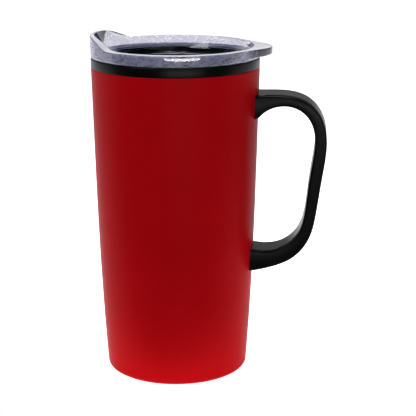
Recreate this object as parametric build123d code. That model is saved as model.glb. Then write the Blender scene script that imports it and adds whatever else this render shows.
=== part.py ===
"""Insulated travel mug: steel shell, plastic liner, side handle and clear slide-closure lid.

Frame: +Z is up and is the mug's axis, z = 0 is the face the mug stands on.
The handle is on +X and the drinking lip is on -X.  All lengths are in millimetres.
"""
import math
import os

from build123d import *

# Steel shell: a bellied taper, r(z) = top radius * (1 - a*u + b*u^2 - c*u^3), u = 1 - z / top
SHELL_TOP_Z = 160.0
SHELL_TOP_R = 43.0
TAPER = 0.0899
BELLY = 0.0356
TUCK = 0.0897
SHELL_WALL = 0.8
SHELL_FOOT_Z = 0.4
BASE_CORNER_R = 2.0
BASE_RECESS_R = 29.6
BASE_PANEL_Z = 2.2

# Liner cup and its rim, which shows as the band between the shell and the lid
LINER_WALL = 1.4
AIR_GAP = 2.6
LINER_BOTTOM_Z = 8.0
LINER_FLOOR = 1.6
LINER_CORNER_R = 6.0
RIM_TOP_Z = 165.0
RIM_EDGE_R = 0.8
SKIRT_OUT_R = 41.9
SKIRT_IN_R = 40.8
SKIRT_LOW_Z = 155.4
RIM_SEAL_LOW_Z = 157.0
RIM_SEAL_HEIGHT = 1.6
RIM_SEAL_DEPTH = 0.6
RIM_SEAL_OUT_R = 42.05
SPACER_R = 26.0
SPACER_HOLE_R = 9.0

# Foot pad
PAD_R = 29.2
PAD_GROOVE_RADII = (9.0, 15.0, 21.0)
PAD_GROOVE_W = 1.2
PAD_GROOVE_D = 0.6
PAD_EDGE = 0.5

# Handle, drawn as a side outline in X and Z and as a width that changes with height
HANDLE_EDGE_R = 1.0
HANDLE_OUTER = ((36.0, 146.8), (47.0, 146.8), (57.0, 146.6), (67.9, 143.3), (75.5, 134.3), (77.75, 122.5),
                (76.05, 106.5), (73.25, 87.0), (69.75, 72.5), (61.9, 62.2), (49.5, 56.4), (36.0, 53.3))
HANDLE_INNER = ((36.0, 66.6), (46.9, 65.0), (56.1, 67.3), (63.5, 74.3), (67.15, 86.4), (69.15, 103.2),
                (71.2, 117.3), (70.3, 131.5), (64.6, 138.9), (55.7, 141.5), (46.9, 138.8), (41.4, 133.3),
                (36.0, 124.3))
HANDLE_SLAB_W = 30.0
HANDLE_HALF_W_HIGH = (150.0, 11.3)
HANDLE_HALF_W_LOW = (50.0, 9.2)
HANDLE_FIT_GAP = 0.03

# Handle fixings: (height of the screws, distance between them, plate width, plate height)
UPPER_FIXING = (143.0, 11.0, 19.0, 8.0)
LOWER_FIXING = (60.0, 9.0, 16.0, 8.5)
PLATE_THICK = 0.9
SCREW_R = 1.45
SCREW_HOLE_R = 1.5
SCREW_HEAD_R = 2.6
SCREW_HEAD_H = 0.8
SCREW_DRIVE_R = 1.0
SCREW_DRIVE_D = 0.5
SCREW_REACH = 9.0

# Lid
LID_R = 43.25
LID_BOTTOM_Z = 165.1
LID_TOP_Z = 170.7
RECESS_TOP_R = 39.1
SHOULDER_Z = 164.5
FLOOR_Z = 157.8
LIP_HEIGHT = 5.5
LIP_HALF_W = 31.0
LIP_BLUNTNESS = 2.4
LIP_STEPS = 16
LIP_TOP_IN_R = 41.0
PLUG_OUT_R = 37.3
PLUG_IN_R = 35.5
PLUG_LOW_Z = 156.0
SEAL_GROOVE_LOW_Z = 158.4
SEAL_GROOVE_H = 3.0
SEAL_GROOVE_D = 0.9
SEAL_OUT_R = 38.05
TAB_REACH = 6.15
TAB_HALF_ANGLE = 33.0
TAB_STEPS = 16
TAB_LOW_Z = 166.7
SIP_X = -30.6
SIP_HALF_LEN = 8.0
SIP_R = 2.6
VENT_X = 25.0
VENT_R = 1.0

# Slider in the lid's recess
SLIDER_FRONT_X = -18.5
SLIDER_REAR_X = 15.5
SLIDER_HALF_W = 10.0
SLIDER_GAP = 0.3
SLIDER_PLATE_H = 1.2
SLIDER_BODY_HALF_W = 8.8
SLIDER_TOP_Z = 160.5
SLIDER_FRONT_R = 36.0
SLIDER_CORNER_R = 3.0
THUMB_RIB_X = (-6.0, -1.0, 4.0)
THUMB_RIB_R = 1.3
THUMB_RIB_HALF_LEN = 6.0
RAIL_WALL = 1.2
RAIL_LIP = 1.1
RAIL_LIP_H = 0.8
RAIL_FRONT_X = -31.0
STOP_W = 1.6
STOP_H = 2.0
PAD_POCKET = (-14.0, 7.5, 1.0)
PAD_POCKET_HALF_W = 7.6

PROFILE_STEPS = 8


def shell_radius(z):
    """Outer radius of the shell at height z."""
    drop = 1 - z / SHELL_TOP_Z
    return SHELL_TOP_R * (1 - TAPER * drop + BELLY * drop**2 - TUCK * drop**3)


def wall_curve(inset, low_z, high_z):
    """The bellied taper, set in by inset, as a curve from low_z up to high_z."""
    heights = [low_z + (high_z - low_z) * step / PROFILE_STEPS for step in range(PROFILE_STEPS + 1)]
    return Spline([(shell_radius(z) - inset, 0, z) for z in heights])


def arc_corner(start, middle, end):
    """A rounded corner of a profile, through three (radius, height) points."""
    return ThreePointArc(*[(r, 0, z) for r, z in (start, middle, end)])


def path(*points):
    """Straight runs of a profile through (radius, height) points."""
    return Polyline([(r, 0, z) for r, z in points])


def turned(*edges):
    """A solid of revolution about Z from the edges of a closed profile."""
    return revolve(make_face(Wire(all_edges(edges))), Axis.Z)


def all_edges(lines):
    """All edges of the given lines, in order."""
    return [edge for line in lines for edge in line.edges()]


def ring(in_r, out_r, low_z, high_z):
    """A plain ring with its axis on Z."""
    height = high_z - low_z
    outer = Cylinder(out_r, height, align=(Align.CENTER, Align.CENTER, Align.MIN))
    inner = Cylinder(in_r, height, align=(Align.CENTER, Align.CENTER, Align.MIN))
    return Pos(0, 0, low_z) * (outer - inner)


def disc(radius, low_z, high_z):
    """A plain disc with its axis on Z."""
    return Pos(0, 0, low_z) * Cylinder(radius, high_z - low_z, align=(Align.CENTER, Align.CENTER, Align.MIN))


def block(low, high):
    """A box between two opposite corners."""
    size = [b - a for a, b in zip(low, high)]
    middle = [(a + b) / 2 for a, b in zip(low, high)]
    return Pos(*middle) * Box(*size)


def rod_x(radius, start_x, end_x, y, z):
    """A round bar along X."""
    bar = Cylinder(radius, end_x - start_x, align=(Align.CENTER, Align.CENTER, Align.MIN))
    return Pos(start_x, y, z) * Rot(0, 90, 0) * bar


def save(part, name):
    export_step(part, os.path.join("parts", name + ".step"))


def outer_shell():
    """Deep-drawn steel cup: open at the top, with a raised panel in its base for the foot pad."""
    corner = BASE_CORNER_R
    bend = corner * math.sqrt(0.5)
    top_of_corner = SHELL_FOOT_Z + corner
    inner_low = SHELL_FOOT_Z + SHELL_WALL
    outer_r_low = shell_radius(top_of_corner)
    inner_corner_r = outer_r_low - SHELL_WALL
    inner_bend = corner - SHELL_WALL
    panel_top = BASE_PANEL_Z + SHELL_WALL
    step_in_r = BASE_RECESS_R
    step_out_r = BASE_RECESS_R + SHELL_WALL
    profile = (
        path((0, BASE_PANEL_Z), (step_in_r, BASE_PANEL_Z), (step_in_r, SHELL_FOOT_Z),
             (outer_r_low - corner, SHELL_FOOT_Z)),
        arc_corner((outer_r_low - corner, SHELL_FOOT_Z),
                   (outer_r_low - corner + bend, top_of_corner - bend),
                   (outer_r_low, top_of_corner)),
        wall_curve(0, top_of_corner, SHELL_TOP_Z),
        path((SHELL_TOP_R, SHELL_TOP_Z), (SHELL_TOP_R - SHELL_WALL, SHELL_TOP_Z)),
        wall_curve(SHELL_WALL, top_of_corner, SHELL_TOP_Z),
        arc_corner((inner_corner_r, top_of_corner),
                   (inner_corner_r - inner_bend * (1 - math.sqrt(0.5)),
                    top_of_corner - inner_bend * math.sqrt(0.5)),
                   (inner_corner_r - inner_bend, inner_low)),
        path((inner_corner_r - inner_bend, inner_low), (step_out_r, inner_low), (step_out_r, panel_top),
             (0, panel_top), (0, BASE_PANEL_Z)),
    )
    shell = turned(*profile)
    for height, spacing, _, _ in (UPPER_FIXING, LOWER_FIXING):
        for side in (-0.5, 0.5):
            shell -= rod_x(SCREW_HOLE_R, 30, 50, side * spacing, height)
    return shell


def liner_cup():
    """Moulded cup with a solid rim that caps the shell, and a skirt that centres it in the shell."""
    outer_inset = SHELL_WALL + AIR_GAP
    inner_inset = outer_inset + LINER_WALL
    floor_z = LINER_BOTTOM_Z + LINER_FLOOR
    outer_corner_z = LINER_BOTTOM_Z + LINER_CORNER_R
    inner_corner = LINER_CORNER_R - LINER_WALL
    inner_corner_z = floor_z + inner_corner
    outer_r = shell_radius(outer_corner_z) - outer_inset
    inner_r = shell_radius(inner_corner_z) - inner_inset
    half = math.sqrt(0.5)
    rim_in_r = SHELL_TOP_R - inner_inset
    outer_top_r = SHELL_TOP_R - outer_inset
    profile = (
        path((0, LINER_BOTTOM_Z), (outer_r - LINER_CORNER_R, LINER_BOTTOM_Z)),
        arc_corner((outer_r - LINER_CORNER_R, LINER_BOTTOM_Z),
                   (outer_r - LINER_CORNER_R * (1 - half), outer_corner_z - LINER_CORNER_R * half),
                   (outer_r, outer_corner_z)),
        wall_curve(outer_inset, outer_corner_z, SHELL_TOP_Z),
        path((outer_top_r, SHELL_TOP_Z), (SKIRT_IN_R, SHELL_TOP_Z), (SKIRT_IN_R, SKIRT_LOW_Z),
             (SKIRT_OUT_R, SKIRT_LOW_Z), (SKIRT_OUT_R, RIM_SEAL_LOW_Z),
             (SKIRT_OUT_R - RIM_SEAL_DEPTH, RIM_SEAL_LOW_Z),
             (SKIRT_OUT_R - RIM_SEAL_DEPTH, RIM_SEAL_LOW_Z + RIM_SEAL_HEIGHT),
             (SKIRT_OUT_R, RIM_SEAL_LOW_Z + RIM_SEAL_HEIGHT), (SKIRT_OUT_R, SHELL_TOP_Z),
             (SHELL_TOP_R, SHELL_TOP_Z), (SHELL_TOP_R, RIM_TOP_Z - RIM_EDGE_R)),
        arc_corner((SHELL_TOP_R, RIM_TOP_Z - RIM_EDGE_R),
                   (SHELL_TOP_R - RIM_EDGE_R * (1 - half), RIM_TOP_Z - RIM_EDGE_R * (1 - half)),
                   (SHELL_TOP_R - RIM_EDGE_R, RIM_TOP_Z)),
        path((SHELL_TOP_R - RIM_EDGE_R, RIM_TOP_Z), (rim_in_r + RIM_EDGE_R, RIM_TOP_Z)),
        arc_corner((rim_in_r + RIM_EDGE_R, RIM_TOP_Z),
                   (rim_in_r + RIM_EDGE_R * (1 - half), RIM_TOP_Z - RIM_EDGE_R * (1 - half)),
                   (rim_in_r, RIM_TOP_Z - RIM_EDGE_R)),
        path((rim_in_r, RIM_TOP_Z - RIM_EDGE_R), (rim_in_r, SHELL_TOP_Z)),
        wall_curve(inner_inset, inner_corner_z, SHELL_TOP_Z),
        arc_corner((inner_r, inner_corner_z),
                   (inner_r - inner_corner * (1 - half), inner_corner_z - inner_corner * half),
                   (inner_r - inner_corner, floor_z)),
        path((inner_r - inner_corner, floor_z), (0, floor_z), (0, LINER_BOTTOM_Z)),
    )
    return turned(*profile)


def rim_seal():
    """Silicone ring in the skirt's groove, which closes the air gap at the top."""
    return ring(SKIRT_OUT_R - RIM_SEAL_DEPTH, RIM_SEAL_OUT_R, RIM_SEAL_LOW_Z, RIM_SEAL_LOW_Z + RIM_SEAL_HEIGHT)


def base_spacer():
    """Foam ring that carries the liner's floor on the shell's base panel."""
    return ring(SPACER_HOLE_R, SPACER_R, BASE_PANEL_Z + SHELL_WALL, LINER_BOTTOM_Z)


def foot_pad():
    """Rubber disc under the base, with ring grooves in the face that the mug stands on."""
    pad = disc(PAD_R, 0, BASE_PANEL_Z)
    pad = chamfer(pad.edges().sort_by(Axis.Z)[0], PAD_EDGE)
    for radius in PAD_GROOVE_RADII:
        pad -= ring(radius, radius + PAD_GROOVE_W, 0, PAD_GROOVE_D)
    return pad


def shell_solid(grow):
    """The space that the shell stands in, grown outwards, for shaping what lies on it."""
    low_z, high_z = 20, SHELL_TOP_Z
    return turned(
        path((0, low_z), (shell_radius(low_z) + grow, low_z)),
        wall_curve(-grow, low_z, high_z),
        path((SHELL_TOP_R + grow, high_z), (0, high_z), (0, low_z)),
    )


def handle():
    """One-piece moulded strap handle, wider at the top than at the bottom."""
    outer = Spline([(x, 0, z) for x, z in HANDLE_OUTER])
    inner = Spline([(x, 0, z) for x, z in HANDLE_INNER])
    side = make_face(Wire(all_edges((
        outer,
        path(HANDLE_OUTER[-1], HANDLE_INNER[0]),
        inner,
        path(HANDLE_INNER[-1], HANDLE_OUTER[0]),
    ))))
    slab = Pos(0, -HANDLE_SLAB_W / 2, 0) * extrude(side, amount=HANDLE_SLAB_W, dir=(0, 1, 0))
    (top_z, top_half), (low_z, low_half) = HANDLE_HALF_W_HIGH, HANDLE_HALF_W_LOW
    front = make_face(Wire(all_edges([Polyline([
        (0, -low_half, low_z), (0, low_half, low_z), (0, top_half, top_z), (0, -top_half, top_z),
        (0, -low_half, low_z),
    ])])))
    strap = slab & extrude(front, amount=90, dir=(1, 0, 0))
    long_edges = strap.edges().filter_by(lambda edge: edge.length > 50)
    strap = fillet(long_edges, HANDLE_EDGE_R)
    strap -= shell_solid(HANDLE_FIT_GAP)
    for height, spacing, _, _ in (UPPER_FIXING, LOWER_FIXING):
        reach = shell_radius(height) + SCREW_REACH
        for side_sign in (-0.5, 0.5):
            strap -= rod_x(SCREW_HOLE_R, 30, reach, side_sign * spacing, height)
    return strap.solid()


def backing_plate(fixing):
    """Curved steel plate inside the shell that spreads the load of one end of the handle."""
    height, spacing, width, tall = fixing
    low_z, high_z = height - tall / 2, height + tall / 2
    inner, outer = SHELL_WALL + PLATE_THICK, SHELL_WALL
    band = turned(
        path((shell_radius(low_z) - inner, low_z), (shell_radius(low_z) - outer, low_z)),
        wall_curve(outer, low_z, high_z),
        path((shell_radius(high_z) - outer, high_z), (shell_radius(high_z) - inner, high_z)),
        wall_curve(inner, low_z, high_z),
    )
    plate = band & block((20, -width / 2, low_z), (50, width / 2, high_z))
    for side in (-0.5, 0.5):
        plate -= rod_x(SCREW_HOLE_R, 20, 50, side * spacing, height)
    return plate.solid()


def handle_screws(fixing):
    """The two screws of one end of the handle, put in from inside the shell."""
    height, spacing, _, _ = fixing
    screws = []
    for side in (-0.5, 0.5):
        y = side * spacing
        seat_r = shell_radius(height) - SHELL_WALL - PLATE_THICK
        head_x = math.sqrt(seat_r**2 - (abs(y) + SCREW_HEAD_R)**2)
        end_x = shell_radius(height) + SCREW_REACH - 0.5
        head = rod_x(SCREW_HEAD_R, head_x - SCREW_HEAD_H, head_x, y, height)
        drive = rod_x(SCREW_DRIVE_R, head_x - SCREW_HEAD_H, head_x - SCREW_HEAD_H + SCREW_DRIVE_D, y, height)
        shank = rod_x(SCREW_R, head_x - 0.2, end_x, y, height)
        screws.append((head + shank - drive).solid())
    return Compound(children=screws)


def lip_rise(y):
    """Height of the drinking lip over the flange, at the distance y from the mug's middle plane."""
    return LIP_HEIGHT * math.cos(math.pi / 2 * (abs(y) / LIP_HALF_W)**LIP_BLUNTNESS)**2


def tab_blank():
    """The thumb tab: the flange's rim swells outwards in a smooth cam shape over the handle."""
    rim = []
    for step in range(TAB_STEPS + 1):
        share = 2 * step / TAB_STEPS - 1
        angle = math.radians(TAB_HALF_ANGLE * share)
        radius = LID_R + TAB_REACH * math.cos(math.pi / 2 * share)**2
        rim.append((radius * math.cos(angle), radius * math.sin(angle), TAB_LOW_Z))
    plan = make_face(Wire(all_edges((Spline(rim), Polyline([rim[-1], (RECESS_TOP_R - 5, 0, TAB_LOW_Z), rim[0]])))))
    tab = extrude(plan, amount=LID_TOP_Z - TAB_LOW_Z, dir=(0, 0, 1))
    return tab - disc(RECESS_TOP_R + 1, TAB_LOW_Z, LID_TOP_Z)


def lip_blank():
    """The drinking lip: a raised arc of the lid's wall that runs out smoothly at both ends."""
    low_z = LID_TOP_Z - 1
    high_z = LID_TOP_Z + LIP_HEIGHT
    wall = turned(path((RECESS_TOP_R, low_z), (LID_R, low_z), (LID_R, high_z), (LIP_TOP_IN_R, high_z),
                       (RECESS_TOP_R, LID_TOP_Z), (RECESS_TOP_R, low_z)))
    across = [LIP_HALF_W * (2 * step / LIP_STEPS - 1) for step in range(LIP_STEPS + 1)]
    curtain = make_face(Wire(all_edges((
        Spline([(0, y, LID_TOP_Z + lip_rise(y)) for y in across]),
        Polyline([(0, LIP_HALF_W, LID_TOP_Z), (0, LIP_HALF_W, low_z), (0, -LIP_HALF_W, low_z),
                  (0, -LIP_HALF_W, LID_TOP_Z)]),
    ))))
    return wall & extrude(curtain, amount=50, dir=(-1, 0, 0))


def slider_rails():
    """Two hooked rails and a rear stop on the recess floor that guide and hold the slider."""
    lift = FLOOR_Z + SLIDER_GAP + SLIDER_PLATE_H + SLIDER_GAP
    wall_in = SLIDER_HALF_W + SLIDER_GAP
    rear_x = SLIDER_REAR_X + SLIDER_GAP + STOP_W
    rails = []
    for sign in (-1, 1):
        low_y, high_y = sorted((sign * wall_in, sign * (wall_in + RAIL_WALL)))
        rails.append(block((RAIL_FRONT_X, low_y, FLOOR_Z - 0.5), (rear_x, high_y, lift + RAIL_LIP_H)))
        low_y, high_y = sorted((sign * (wall_in - RAIL_LIP), sign * (wall_in + RAIL_WALL)))
        rails.append(block((RAIL_FRONT_X, low_y, lift), (rear_x, high_y, lift + RAIL_LIP_H)))
    stop = block((rear_x - STOP_W, -wall_in - RAIL_WALL, FLOOR_Z - 0.5),
                 (rear_x, wall_in + RAIL_WALL, FLOOR_Z + STOP_H))
    return rails + [stop]


def lid_body():
    """Clear press-in lid: a cup-shaped plug with a seal groove, under a flange with a lip and a thumb tab."""
    groove_r = PLUG_OUT_R - SEAL_GROOVE_D
    groove_top = SEAL_GROOVE_LOW_Z + SEAL_GROOVE_H
    lid = turned(
        path((0, PLUG_LOW_Z), (PLUG_OUT_R, PLUG_LOW_Z), (PLUG_OUT_R, SEAL_GROOVE_LOW_Z),
             (groove_r, SEAL_GROOVE_LOW_Z), (groove_r, groove_top), (PLUG_OUT_R, groove_top),
             (PLUG_OUT_R, LID_BOTTOM_Z), (LID_R, LID_BOTTOM_Z), (LID_R, LID_TOP_Z),
             (RECESS_TOP_R, LID_TOP_Z), (PLUG_IN_R, SHOULDER_Z), (PLUG_IN_R, FLOOR_Z), (0, FLOOR_Z),
             (0, PLUG_LOW_Z)),
    )
    lid += lip_blank()
    lid += tab_blank()
    for rail in slider_rails():
        lid += rail
    sip_ends = [Pos(SIP_X, y, 0) * disc(SIP_R, PLUG_LOW_Z - 1, FLOOR_Z + 1)
                for y in (-SIP_HALF_LEN + SIP_R, SIP_HALF_LEN - SIP_R)]
    sip_middle = block((SIP_X - SIP_R, -SIP_HALF_LEN + SIP_R, PLUG_LOW_Z - 1),
                       (SIP_X + SIP_R, SIP_HALF_LEN - SIP_R, FLOOR_Z + 1))
    for cut in sip_ends + [sip_middle, Pos(VENT_X, 0, 0) * disc(VENT_R, PLUG_LOW_Z - 1, FLOOR_Z + 1)]:
        lid -= cut
    return lid.solid()


def lid_seal():
    """Silicone ring in the plug's groove, with two lips that wipe the liner's wall."""
    groove_r = PLUG_OUT_R - SEAL_GROOVE_D
    lip_h = SEAL_GROOVE_H / 3
    body_out = PLUG_OUT_R + 0.2
    seal = ring(groove_r, body_out, SEAL_GROOVE_LOW_Z, SEAL_GROOVE_LOW_Z + SEAL_GROOVE_H)
    for low_z in (SEAL_GROOVE_LOW_Z, SEAL_GROOVE_LOW_Z + 2 * lip_h):
        seal += ring(groove_r, SEAL_OUT_R, low_z, low_z + lip_h)
    return seal


def slider_plan(half_w):
    """Plan outline of the slider: a round front end and rounded rear corners."""
    centre_x = SLIDER_FRONT_X + SLIDER_FRONT_R
    corner_x = centre_x - math.sqrt(SLIDER_FRONT_R**2 - half_w**2)
    r = SLIDER_CORNER_R
    rear = SLIDER_REAR_X
    bend = r * (1 - math.sqrt(0.5))
    lines = (
        ThreePointArc((corner_x, half_w, 0), (SLIDER_FRONT_X, 0, 0), (corner_x, -half_w, 0)),
        Line((corner_x, -half_w, 0), (rear - r, -half_w, 0)),
        ThreePointArc((rear - r, -half_w, 0), (rear - bend, -half_w + bend, 0), (rear, -half_w + r, 0)),
        Line((rear, -half_w + r, 0), (rear, half_w - r, 0)),
        ThreePointArc((rear, half_w - r, 0), (rear - bend, half_w - bend, 0), (rear - r, half_w, 0)),
        Line((rear - r, half_w, 0), (corner_x, half_w, 0)),
    )
    return make_face(Wire(all_edges(lines)))


def lid_slider():
    """Slider plate with a raised body between the rails and three thumb ribs across it."""
    low_z = FLOOR_Z + SLIDER_GAP
    plate = Pos(0, 0, low_z) * extrude(slider_plan(SLIDER_HALF_W), amount=SLIDER_PLATE_H, dir=(0, 0, 1))
    body = Pos(0, 0, low_z) * extrude(slider_plan(SLIDER_BODY_HALF_W), amount=SLIDER_TOP_Z - low_z, dir=(0, 0, 1))
    slider = plate + body
    for x in THUMB_RIB_X:
        rib = Cylinder(THUMB_RIB_R, 2 * THUMB_RIB_HALF_LEN)
        slider += Pos(x, 0, SLIDER_TOP_Z - 0.3) * Rot(90, 0, 0) * rib
    front_x, length, depth = PAD_POCKET[0] - PAD_POCKET[1] / 2, PAD_POCKET[1], PAD_POCKET[2]
    slider -= block((front_x, -PAD_POCKET_HALF_W, low_z - 1),
                    (front_x + length, PAD_POCKET_HALF_W, low_z + depth))
    return slider.solid()


def slider_seal():
    """Silicone pad under the front of the slider that covers the sip opening when it is shut."""
    front_x = PAD_POCKET[0] - PAD_POCKET[1] / 2
    low_z = FLOOR_Z + SLIDER_GAP
    return block((front_x, -PAD_POCKET_HALF_W, FLOOR_Z + 0.1),
                 (front_x + PAD_POCKET[1], PAD_POCKET_HALF_W, low_z + PAD_POCKET[2]))


os.makedirs("parts", exist_ok=True)
save(outer_shell(), "outer_shell")
save(liner_cup(), "liner_cup")
save(rim_seal(), "rim_seal")
save(base_spacer(), "base_spacer")
save(foot_pad(), "foot_pad")
save(handle(), "handle")
save(backing_plate(UPPER_FIXING), "upper_backing_plate")
save(backing_plate(LOWER_FIXING), "lower_backing_plate")
save(handle_screws(UPPER_FIXING), "upper_handle_screws")
save(handle_screws(LOWER_FIXING), "lower_handle_screws")
save(lid_body(), "lid_body")
save(lid_seal(), "lid_seal")
save(lid_slider(), "lid_slider")
save(slider_seal(), "slider_seal")
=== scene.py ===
"""Insulated travel mug in its finished looks: powder-coated steel, moulded plastic, clear lid.

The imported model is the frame.  Blender works in metres, so sizes in millimetres are turned to
metres where a mesh is drawn.  The mug's axis is Z, its handle is on +X, its drinking lip on -X.
"""
import math

import bpy
import numpy as np
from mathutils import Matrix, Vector


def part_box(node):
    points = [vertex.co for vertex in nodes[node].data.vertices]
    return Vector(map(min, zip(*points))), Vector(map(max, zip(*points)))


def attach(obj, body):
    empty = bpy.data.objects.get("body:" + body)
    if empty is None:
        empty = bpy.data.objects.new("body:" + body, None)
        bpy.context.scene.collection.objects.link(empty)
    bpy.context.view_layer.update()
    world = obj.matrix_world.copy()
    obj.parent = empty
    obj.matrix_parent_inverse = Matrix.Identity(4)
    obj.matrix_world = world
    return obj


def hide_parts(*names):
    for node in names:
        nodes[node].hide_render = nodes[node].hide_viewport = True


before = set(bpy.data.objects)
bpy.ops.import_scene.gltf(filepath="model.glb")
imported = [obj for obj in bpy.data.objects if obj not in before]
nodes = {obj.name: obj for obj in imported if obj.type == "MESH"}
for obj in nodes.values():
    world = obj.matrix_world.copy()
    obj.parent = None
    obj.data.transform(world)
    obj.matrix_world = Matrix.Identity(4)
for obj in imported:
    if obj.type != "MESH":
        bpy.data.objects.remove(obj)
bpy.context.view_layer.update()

MM = 0.001


def low(node):
    """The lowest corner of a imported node, in millimetres."""
    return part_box(node)[0] / MM


def high(node):
    """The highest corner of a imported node, in millimetres."""
    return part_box(node)[1] / MM


# Places read from the frame, in millimetres
SHELL_TOP_R = high("liner_cup").x
SHELL_TOP_Z = high("outer_shell").z
SHELL_FOOT_Z = low("outer_shell").z
RIM_TOP_Z = high("liner_cup").z
LINER_BOTTOM_Z = low("liner_cup").z
LID_R = high("lid_body").y
LIP_TOP_Z = high("lid_body").z
PLUG_LOW_Z = low("lid_body").z
TAB_TIP_X = high("lid_body").x
SLIDER_FRONT_X = low("lid_slider").x
SLIDER_REAR_X = high("lid_slider").x
SLIDER_LOW_Z = low("lid_slider").z
SLIDER_HALF_W = high("lid_slider").y
SEAL_OUT_R = high("lid_seal").x
SEAL_LOW_Z = low("lid_seal").z
SEAL_HIGH_Z = high("lid_seal").z
PAD_TOP_Z = high("foot_pad").z
PAD_R = high("foot_pad").y

# Shell and liner
TAPER, BELLY, TUCK = 0.0899, 0.0356, 0.0897
SHELL_WALL = 0.8
BASE_CORNER_R = 2.0
BASE_RECESS_R = 29.6
BASE_PANEL_Z = 2.2
LINER_INSET = 3.4
LINER_WALL = 1.4
LINER_FLOOR = 1.6
LINER_CORNER_R = 6.0
RIM_EDGE_R = 0.7
SKIRT_OUT_R = 41.9
SKIRT_IN_R = 40.8
SKIRT_LOW_Z = 155.4

# Handle
HANDLE_OUTER = ((36.0, 146.8), (47.0, 146.8), (57.0, 146.6), (67.9, 143.3), (75.5, 134.3), (77.75, 122.5),
                (76.05, 106.5), (73.25, 87.0), (69.75, 72.5), (61.9, 62.2), (49.5, 56.4), (36.0, 53.3))
HANDLE_INNER = ((36.0, 66.6), (46.9, 65.0), (56.1, 67.3), (63.5, 74.3), (67.15, 86.4), (69.15, 103.2),
                (71.2, 117.3), (70.3, 131.5), (64.6, 138.9), (55.7, 141.5), (46.9, 138.8), (41.4, 133.3),
                (36.0, 124.3))
HANDLE_HALF_W_HIGH = (150.0, 11.3)
HANDLE_HALF_W_LOW = (50.0, 9.2)
HANDLE_STATIONS = 110
HANDLE_EDGE_R = 1.0
HANDLE_GAP = 0.03
BEAD_IN = 2.5
BEAD_GROOVE = 0.3

# Lid
LID_BOTTOM_Z = 165.1
LID_TOP_Z = 170.7
FLOOR_Z = 157.8
SHOULDER_Z = 164.5
RECESS_TOP_R = 39.1
LIP_TOP_IN_R = 41.0
LIP_HALF_W = 31.0
LIP_BLUNTNESS = 2.4
LIP_HEIGHT = LIP_TOP_Z - LID_TOP_Z
PLUG_OUT_R = 37.3
PLUG_IN_R = 35.5
SEAL_GROOVE_R = 36.4
SEAL_PLAY = 0.05
SEAL_SEAM_H = 1
SIDE_BAND_H = 1.2
# Below this height the flange's side leans in, by this much for each millimetre
DRAFT_TOP_Z = 168.3
DRAFT = 0.04
# The lip starts to rise this far under the flange's top and rises in full after the blend
LIP_ROOT_H = 1.25
LIP_BLEND_H = 0.7
TAB_REACH = TAB_TIP_X - LID_R
TAB_HALF_ANGLE = 33.0
TAB_LOW_Z = 166.7
TAB_EDGE_R = 0.6
SIP_X = -30.6
SIP_HALF_LEN = 8.0
SIP_R = 2.6
VENT_X = 25.0
VENT_R = 1.0
RAIL_FRONT_X = -31.0
RAIL_WALL = 1.2
RAIL_LIP = 1.1
RAIL_LIP_H = 0.8
RAIL_SINK = 0.5
RAIL_BEVEL = 0.18
STOP_W = 1.6
STOP_H = 2.0
STOP_BEVEL = 0.2
SLIDER_GAP = 0.3
SLIDER_PLATE_H = 1.2
SLIDER_BODY_HALF_W = 8.8
SLIDER_TOP_Z = 160.5
SLIDER_FRONT_R = 36.0
SLIDER_CORNER_R = 3.0
THUMB_RIB_X = (-6.0, -1.0, 4.0)
THUMB_RIB_R = 1.3
THUMB_RIB_HALF_LEN = 6.0
PLATE_BEVEL = 0.2
BODY_BEVEL = 0.35
RIB_BEVEL = 0.5
PAD_GROOVE_RADII = (9.0, 15.0, 21.0)
PAD_GROOVE_W = 1.2
PAD_GROOVE_D = 0.6

# How fine the meshes are, the gap that merging closes and how far a cutter runs past its cut
TURN_STEPS = 160
CORNER_STEPS = 4
WALL_STEPS = 40
SPLINE_POINTS = 800
FULL_RING = (0, 345, 23)
MERGE_GAP = 0.002
CUT_PAST = 2.0


# ------------------------------------------------------------------ making meshes

def deselect():
    """Nothing selected, so that an operator acts only on the new piece."""
    if bpy.context.mode != "OBJECT":
        bpy.ops.object.mode_set(mode="OBJECT")
    bpy.ops.object.select_all(action="DESELECT")


def take(piece):
    """The piece alone selected and active."""
    deselect()
    piece.select_set(True)
    bpy.context.view_layer.objects.active = piece


def clean(piece):
    """Doubles merged, then faces pointing outwards."""
    take(piece)
    bpy.ops.object.mode_set(mode="EDIT")
    bpy.ops.mesh.select_mode(type="VERT")
    bpy.ops.mesh.select_all(action="SELECT")
    bpy.ops.mesh.remove_doubles(threshold=MERGE_GAP * MM)
    bpy.ops.mesh.normals_make_consistent(inside=False)
    bpy.ops.object.mode_set(mode="OBJECT")


def smooth(piece, degrees):
    """Smooth shading that keeps the sharp corners."""
    take(piece)
    bpy.ops.object.shade_smooth_by_angle(angle=math.radians(degrees))


def settle(piece, name):
    """The piece named, with its place in its mesh."""
    take(piece)
    bpy.ops.object.transform_apply(location=True, rotation=True, scale=True)
    piece.name = name
    piece.data.name = name
    return piece


def modify(piece, kind, **settings):
    """A modifier added with its settings and applied."""
    take(piece)
    modifier = piece.modifiers.new(kind.title(), kind)
    for key, value in settings.items():
        setattr(modifier, key, value)
    bpy.ops.object.modifier_apply(modifier=modifier.name)


def combine(piece, tool, how):
    """A boolean of the piece with a tool mesh, which is used up."""
    modify(piece, "BOOLEAN", operation=how, object=tool, solver="EXACT")
    bpy.data.objects.remove(tool)
    clean(piece)


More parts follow.
